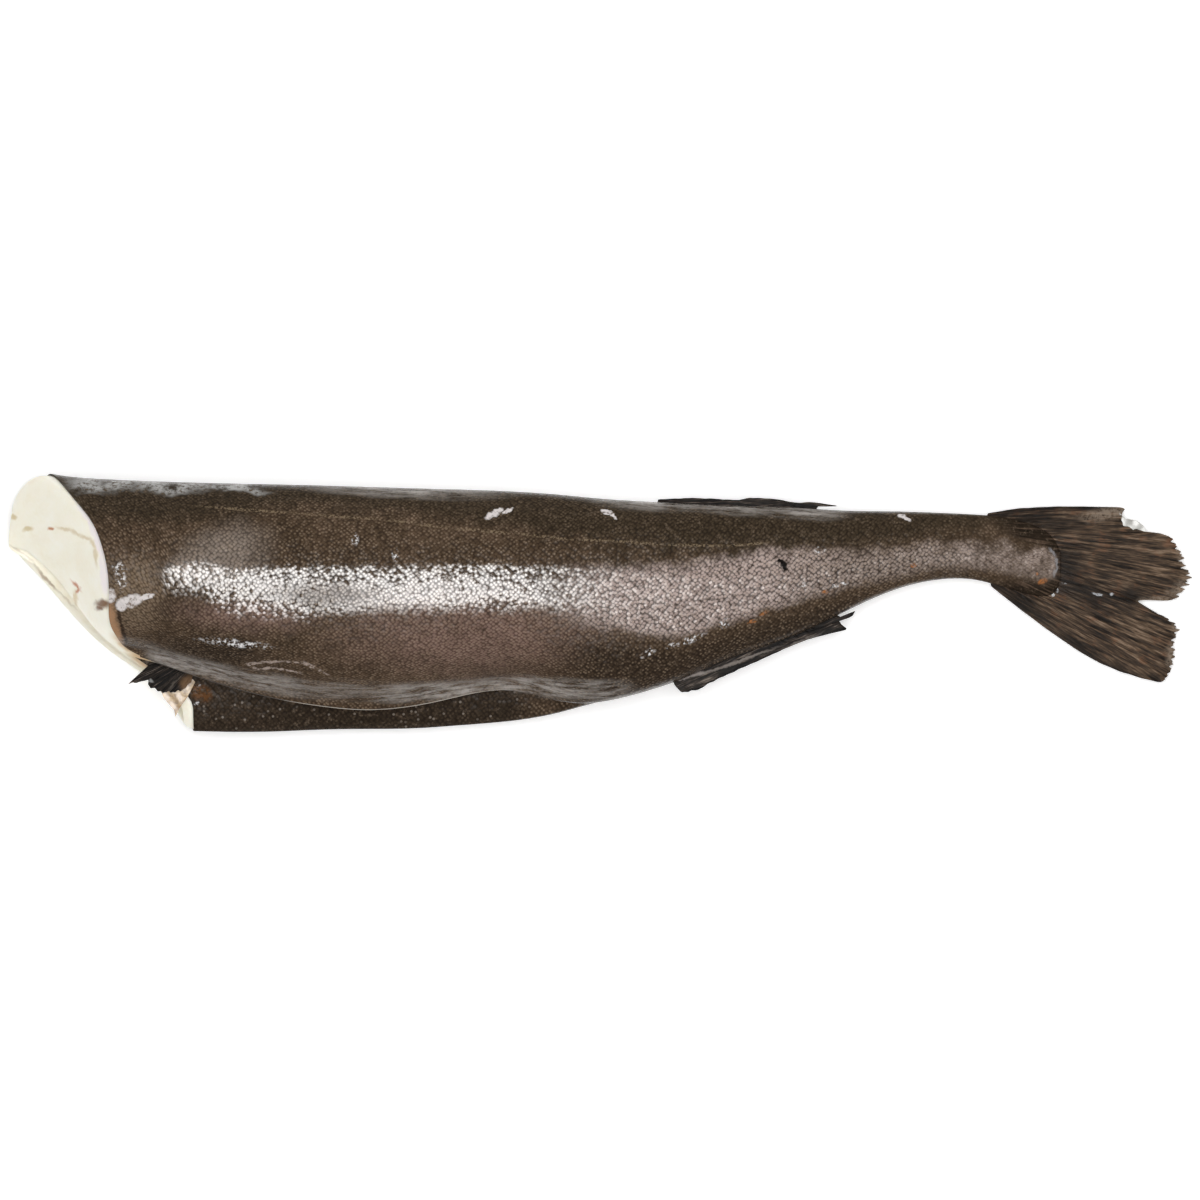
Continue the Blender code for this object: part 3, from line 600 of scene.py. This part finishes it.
        # White specks: painted glints, and a few white flecks.
        glints_and_flecks = self.spots(GLINTS_AND_FLECKS, soft=0.5, source=self.ragged)
        broken = self.rise(self.noise(0.0018, 2.0, 0.6), 0.48, 0.66)
        self.mark(glints_and_flecks * broken, (226, 224, 224))
        white = self.spots(WHITE_SCRAPES, soft=0.25, source=self.ragged)
        self.white = white * self.rise(self.grain, 0.28, 0.5)
        self.mark(self.white, (216, 209, 207))
        self.mark(self.spots(DARK_BLOTCH, source=self.ragged), (20, 17, 15))
        self.mark(self.spots(TAN_PATCH, source=self.ragged), (104, 70, 42), 0.8, (0.36, 0.56))

    def wetness(self):
        """A film on the near flank, broken up by the scales, and where the body turns away."""
        fine, coarse = self.grain - 0.5, (self.patches - 0.5) * 10
        film = self.rise(self.py + fine * 8 - self.course(WET_TOP), -3, 3)
        film = film * self.rise(self.py + coarse + fine * 14 - self.course(WET_FOOT), 12, -8)
        film = film * self.rise(self.px, *WET_START) * self.rise(self.px, *WET_END)
        film = film * self.rise(self.z, *WET_HEIGHTS)
        film = film * (1 - self.rise(self.px, *WET_DIMMED) * 0.75)
        film = film * (1 - self.spot(*DIM_IN_BAND, soft=0.7, source=self.loose) * 0.6)
        turned = self.edge_on * (0.8 - self.tucked * 0.7) * self.rise(self.px, *TURNED_END)
        return (film * (1 - self.gap * 0.55)).math("MAXIMUM", turned) * 0.96 + 0.04

    def relief(self):
        """The scales' flat tops and lean, as far as the tail, and the skin's grain and dents."""
        scales = self.flat_top * 0.05 + self.tilt * (SCALE_PITCH / MM) * 0.3
        scales = scales * self.rise(self.px, *SCALE_RELIEF_END)
        return scales + (self.grain - 0.5) * 0.08 + self.noise(0.005, 2.0) * 0.22


def skin_look():
    """The skin's finish: its own browns, painted sheens and shade, and the film of water on it."""
    look = SkinLook()
    look.lay_browns()
    look.lay_rear_flank_sheen_and_shade()
    look.lay_far_flap_shade()
    look.lay_ray_roots()
    look.lay_scales()
    look.lay_sheens()
    look.lay_marks()
    wet = look.wetness()
    roughness = 0.2 + (look.grain - 0.5) * 0.1 + look.white * 0.2
    return look.wear(look.relief(), roughness, wet)


def flesh_look():
    """Moist cream flesh: a band of white fat, a seam, painted crease shade, brown and yellow marks.
    """
    finish = {
        "Subsurface Weight": 0.1, "Subsurface Scale": 0.003, "Subsurface Radius": (1.0, 0.6, 0.4),
        "Specular IOR Level": 0.25,
    }
    look = Look("cut_flesh", finish)
    ragged = look.wobbled(0.004, 0.0012)
    clouds, grain = look.noise(0.014, 4.0, 0.6), look.noise(0.0018, 3.0, 0.7)
    look.colour = look.tones(clouds * 0.7 + grain * 0.3, FLESH_CREAMS)
    look.lay((246, 238, 238), look.line(FAT_BAND, 9.0, 0.35, ragged) * 0.9)
    for points, wide, tint, strength in FLESH_LINES:
        look.lay(tint, look.line(points, wide, 0.7, ragged) * strength)
    for places, tint, strength in FLESH_SPOTS:
        look.lay(tint, look.spots(places, soft=0.6, source=ragged) * strength)
    # The thin edge of the near flap is dark at the front, and pale further back.
    lip = look.rise(look.z, *LIP_HEIGHTS) * look.rise(look.px, *LIP_START)
    lip = lip * look.rise(look.py, *LIP_ROWS)
    further_back = look.rise(look.px, *LIP_PALER)
    look.lay(look.blend(shade(84, 78, 73), shade(196, 186, 174), further_back), lip)
    fibres = look.noise(0.006, 4.0, 0.6)
    return look.wear(fibres * 0.3 + grain * 0.08, 0.36 + (clouds - 0.5) * 0.2)


def fin_look(name, centre):
    """Near-black fin: fine rays with browner web between, a few pale and tan marks, painted
    highlights.
    """
    look = Look(name, MATT_FIN)
    rays, threads = ray_pattern(look, centre)
    patches = look.noise(0.012, 4.0, 0.65)
    look.colour = look.tones(rays + (patches - 0.5) * 0.5 - 0.05, FIN_BROWNS)
    ragged = look.wobbled(0.003, 0.0014)
    for place, tint, strength in FIN_MARKS_AND_GLINTS:
        look.lay(tint, look.spot(*place, soft=0.6, source=ragged) * look.shown * strength)
    return look.wear(rays * 0.3 + threads * 0.1, 0.5 + (patches - 0.5) * 0.3)


def tail_look():
    """Brown tail: streaked rays, near-black edges, root and notch, and pale tips."""
    look = Look("tail_rays", MATT_FIN)
    rays, threads = ray_pattern(look, TAIL_CENTRE)
    ragged, loose = look.wobbled(0.003, 0.0014), look.wobbled(0.012, 0.005)
    patches, grain = look.noise(0.012, 4.0, 0.65), look.noise(0.0016, 3.0, 0.7)
    look.colour = look.tones(rays + (patches - 0.5) * 0.35, TAIL_BROWNS)
    warm = look.rise(look.noise(0.007, 3.0, 0.6), 0.52, 0.68) * look.rise(rays, 0.4, 0.6)
    look.lay((112, 76, 54), warm * 0.5)
    dark = look.spots(TAIL_DARK, soft=0.8, source=loose)
    dark = dark.math("MAXIMUM", look.line(TAIL_EDGE, 9, 0.9, ragged))
    dark = dark.math("MAXIMUM", look.line(TAIL_FOOT, 10, 0.9, ragged))
    look.lay((24, 20, 17), dark * 0.8)
    pale = look.spots(TAIL_PALE, soft=0.6, source=loose) * look.rise(grain, 0.3, 0.6)
    look.lay((146, 130, 114), pale * 0.7)
    glints = look.spots(TAIL_GLINTS, source=ragged) * look.rise(grain, 0.42, 0.56)
    look.lay((190, 192, 196), glints * look.shown * 0.85)
    roughness = 0.5 + (patches - 0.5) * 0.3 - glints * 0.2
    return look.wear(rays * 0.3 + threads * 0.1, roughness)


def scrap_look(name, darker, lighter):
    """Thin torn membrane, blotched."""
    look = Look(name, {"Roughness": 0.45})
    blotches = look.noise(0.004, 4.0, 0.65)
    look.colour = look.tones(blotches, ((0.3, darker), (0.65, lighter)))
    return look.wear(blotches * 0.3)


# ---------------------------------------------------------------- shapes


def pick(piece):
    """Selects one piece alone and makes it the active one."""
    bpy.ops.object.select_all(action="DESELECT")
    piece.select_set(True)
    bpy.context.view_layer.objects.active = piece


def copy_of(node, name):
    """A copy of a solid of the frame with its loose triangles joined into quads."""
    piece = bpy.data.objects.new(name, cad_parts[node].data.copy())
    piece.data.materials.clear()
    bpy.context.scene.collection.objects.link(piece)
    pick(piece)
    bpy.ops.object.mode_set(mode="EDIT")
    bpy.ops.mesh.customdata_custom_splitnormals_clear()
    bpy.ops.mesh.select_all(action="SELECT")
    bpy.ops.mesh.remove_doubles(threshold=JOIN_DISTANCE)
    bpy.ops.mesh.tris_convert_to_quads(
        face_threshold=math.radians(QUAD_ANGLE), shape_threshold=math.radians(QUAD_ANGLE)
    )
    bpy.ops.object.mode_set(mode="OBJECT")
    return piece


def crease_sharp_edges(piece):
    """Keeps the piece's sharp edges in place when it is subdivided."""
    pick(piece)
    bpy.ops.object.mode_set(mode="EDIT")
    bpy.ops.mesh.select_mode(type="EDGE")
    bpy.ops.mesh.select_all(action="DESELECT")
    bpy.ops.mesh.edges_select_sharp(sharpness=math.radians(CREASED_EDGE))
    bpy.ops.transform.edge_crease(value=1.0)
    bpy.ops.object.mode_set(mode="OBJECT")


def subdivide(piece):
    """Makes the piece finer and rounder."""
    pick(piece)
    smoother = piece.modifiers.new("finer", "SUBSURF")
    smoother.levels = smoother.render_levels = FINER_LEVELS
    bpy.ops.object.modifier_apply(modifier=smoother.name)


def dress(piece, material, slot, *nodes):
    """Gives the finished piece its material and its place in the frame."""
    piece.data.materials.append(material)
    pick(piece)
    bpy.ops.object.shade_smooth_by_angle(angle=math.radians(SHADED_EDGE))
    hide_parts(*nodes)
    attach(piece, "root")
    return piece


def girth_along(piece, step=0.004, reach=0.009):
    """The body's middle and half size across and up at places along it."""
    points = numpy.array([vertex.co for vertex in piece.data.vertices])
    places = numpy.arange(points[:, 0].min(), points[:, 0].max() + step, step)
    rows = []
    for x in places:
        near = points[abs(points[:, 0] - x) < reach]
        low, high = near.min(axis=0), near.max(axis=0)
        rows.append([*(low + high)[1:] / 2, *(high - low)[1:] / 2])
    return places, numpy.array(rows)


def map_scale_rows(piece):
    """A UV map in metres: along the body, and round it from the crest that lies uppermost."""
    places, rows = girth_along(piece)
    mesh = piece.data
    points = numpy.array([vertex.co for vertex in mesh.vertices])
    mid_y, mid_z, half_y, half_z = [
        numpy.interp(points[:, 0], places, rows[:, k]) for k in range(4)
    ]
    turns = numpy.arctan2((points[:, 1] - mid_y) / half_y, (points[:, 2] - mid_z) / half_z)
    layer = mesh.uv_layers.new(name=SCALE_MAP)
    for face in mesh.polygons:
        corners = list(face.vertices)
        first = turns[corners[0]]
        far_flap = face.normal.z > 0.2 and face.center.z < FAR_FLAP_TOP and face.center.y < 0
        for loop, vertex in zip(face.loop_indices, corners):
            if far_flap:
                layer.data[loop].uv = points[vertex][:2]
                continue
            turn = turns[vertex]
            turn -= 2 * math.pi * round((turn - first) / (2 * math.pi))
            a, b = half_y[vertex], half_z[vertex]
            mean = math.sqrt((a * a + b * b) / 2)
            round_way = mean * turn + (a * a - b * b) / (8 * mean) * math.sin(2 * turn)
            layer.data[loop].uv = (points[vertex][0], round_way)


def make_skin():
    piece = copy_of("skin", "scaly_skin")
    crease_sharp_edges(piece)
    subdivide(piece)
    map_scale_rows(piece)
    return dress(piece, skin_look(), "skin", "skin")


def make_flesh():
    piece = copy_of("flesh", "cut_flesh")
    subdivide(piece)
    dress(piece, flesh_look(), "flesh", "flesh")


def root_into(piece, body, near):
    """Pushes the points of a fin that lie near the body a little way into it."""
    tree = BVHTree.FromObject(body, bpy.context.evaluated_depsgraph_get())
    for vertex in piece.data.vertices:
        spot, normal, _, distance = tree.find_nearest(vertex.co)
        if distance < near:
            vertex.co = spot - normal * ROOT_DEPTH


def fray(piece):
    """Draws the tail's margin in between the ends of its rays."""
    ends = [vertex.co.x for vertex in piece.data.vertices]
    reach = max(ends) - across(FRAY_START)
    for vertex in piece.data.vertices:
        x, y, _ = vertex.co
        teeth = math.sin(y * 1900) + 0.8 * math.sin(y * 3300 + 1) + 0.6 * math.sin(y * 640 + 2)
        share = max(0.0, (x - across(FRAY_START)) / reach)
        vertex.co.x -= FRAY_DEPTH * share**2 * min(1.0, max(0.0, 0.35 + 0.4 * teeth))


def make_fins(skin):
    looks = {
        "tail_fin": tail_look(),
        "second_dorsal_fin": fin_look("back_fin_rays", BACK_FIN_CENTRE),
        "first_dorsal_fin": fin_look("front_back_fin_rays", FRONT_BACK_FIN_CENTRE),
        "anal_fin": fin_look("under_fin_rays", UNDER_FIN_CENTRE),
        "pelvic_fin": fin_look("flap_fin_rays", FLAP_FIN_CENTRE),
    }
    for node, look in looks.items():
        piece = copy_of(node, node + "_rays")
        root_into(piece, skin, ROOT_REACH)
        subdivide(piece)
        root_into(piece, skin, FINE_ROOT_REACH)
        if node == "tail_fin":
            fray(piece)
        dress(piece, look, "fin", node)


def make_scrap(name, outline, heights, material):
    """A thin scrap of membrane with an outline in the photograph, between two heights."""
    curve = bpy.data.curves.new(name, "CURVE")
    curve.dimensions = "2D"
    curve.fill_mode = "BOTH"
    line = curve.splines.new("POLY")
    line.points.add(len(outline) - 1)
    line.use_cyclic_u = True
    for point, (x, y) in zip(line.points, outline):
        point.co = (across(x), up(y), 0, 1)
    piece = bpy.data.objects.new(name, curve)
    bpy.context.scene.collection.objects.link(piece)
    pick(piece)
    bpy.ops.object.convert(target="MESH")
    bpy.ops.object.mode_set(mode="EDIT")
    bpy.ops.mesh.select_all(action="SELECT")
    bpy.ops.mesh.remove_doubles(threshold=JOIN_DISTANCE)
    bpy.ops.mesh.subdivide(number_cuts=5)
    bpy.ops.object.mode_set(mode="OBJECT")
    rows = [vertex.co.y for vertex in piece.data.vertices]
    low, high = heights
    for vertex in piece.data.vertices:
        share = (vertex.co.y - min(rows)) / (max(rows) - min(rows))
        ripple = SCRAP_RIPPLE * math.sin(vertex.co.x * 900) * math.cos(vertex.co.y * 700)
        vertex.co.z = low + (high - low) * share + ripple
    thick = piece.modifiers.new("thick", "SOLIDIFY")
    thick.thickness, thick.offset = SCRAP_THICKNESS, 0
    bpy.ops.object.modifier_apply(modifier=thick.name)
    piece.data.materials.append(material)
    bpy.ops.object.shade_smooth_by_angle(angle=math.radians(SHADED_EDGE))
    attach(piece, "root")


def make_scraps():
    tan = scrap_look("torn_membrane", (96, 68, 36), (184, 150, 96))
    make_scrap("flap_membrane", FLAP_SCRAP, FLAP_SCRAP_HEIGHTS, tan)
    pale = scrap_look("torn_fin_web", (150, 148, 142), (190, 188, 182))
    make_scrap("tail_web", TAIL_SCRAP, TAIL_SCRAP_HEIGHTS, pale)


# ---------------------------------------------------------------- table, lights and camera


def make_table():
    bpy.ops.object.select_all(action="DESELECT")
    bpy.ops.mesh.primitive_plane_add(size=TABLE_SIZE, location=(0, 0, -TABLE_DROP))
    table = bpy.context.active_object
    table.name = "table"
    material = bpy.data.materials.new("pale_table")
    material.use_nodes = True
    shader = material.node_tree.nodes["Principled BSDF"]
    shader.inputs["Base Color"].default_value = TABLE_WHITE
    shader.inputs["Roughness"].default_value = 0.8
    shader.inputs["Emission Color"].default_value = WHITE
    shader.inputs["Emission Strength"].default_value = TABLE_GLOW
    table.data.materials.append(material)


def add_light(name, place, size, radiance, gloss):
    """A rectangular light that faces down, for the gloss of things alone or for all the rest."""
    data = bpy.data.lights.new(name, "AREA")
    data.shape = "RECTANGLE"
    data.size, data.size_y = size
    data.energy = radiance * math.pi * size[0] * size[1]
    light = bpy.data.objects.new(name, data)
    bpy.context.scene.collection.objects.link(light)
    light.location = place
    light.visible_camera = False
    light.visible_diffuse = not gloss
    light.visible_glossy = gloss


def make_lights():
    add_light("overhead", (0.03, 0.16, 1.5), (0.97, 1.3), 3.9, gloss=False)
    add_light("overhead_gloss", (-0.06, 0.005, 0.5), (0.5, 0.49), 24.0, gloss=True)
    add_light("tail_side_gloss", (0.8, -0.25, 1.5), (0.5, 1.1), 3.0, gloss=True)
    world = bpy.data.worlds.new("studio")
    world.use_nodes = True
    world.node_tree.nodes["Background"].inputs["Color"].default_value = WHITE
    world.node_tree.nodes["Background"].inputs["Strength"].default_value = ROOM_LIGHT
    world.cycles_visibility.glossy = False
    bpy.context.scene.world = world


def make_camera():
    data = bpy.data.cameras.new("camera")
    data.sensor_width = SENSOR
    data.lens = SENSOR * CAMERA_HEIGHT / (FRAME_PIXELS * PIXEL)
    camera = bpy.data.objects.new("camera", data)
    bpy.context.scene.collection.objects.link(camera)
    middle = FRAME_PIXELS / 2
    camera.location = (across(middle), up(middle), CAMERA_HEIGHT + OUTLINE_HEIGHT)
    data.clip_end = 100
    bpy.context.scene.camera = camera


bpy.context.scene.view_settings.view_transform = "Standard"
skin = make_skin()
make_flesh()
make_fins(skin)
make_scraps()
make_table()
make_lights()
make_camera()
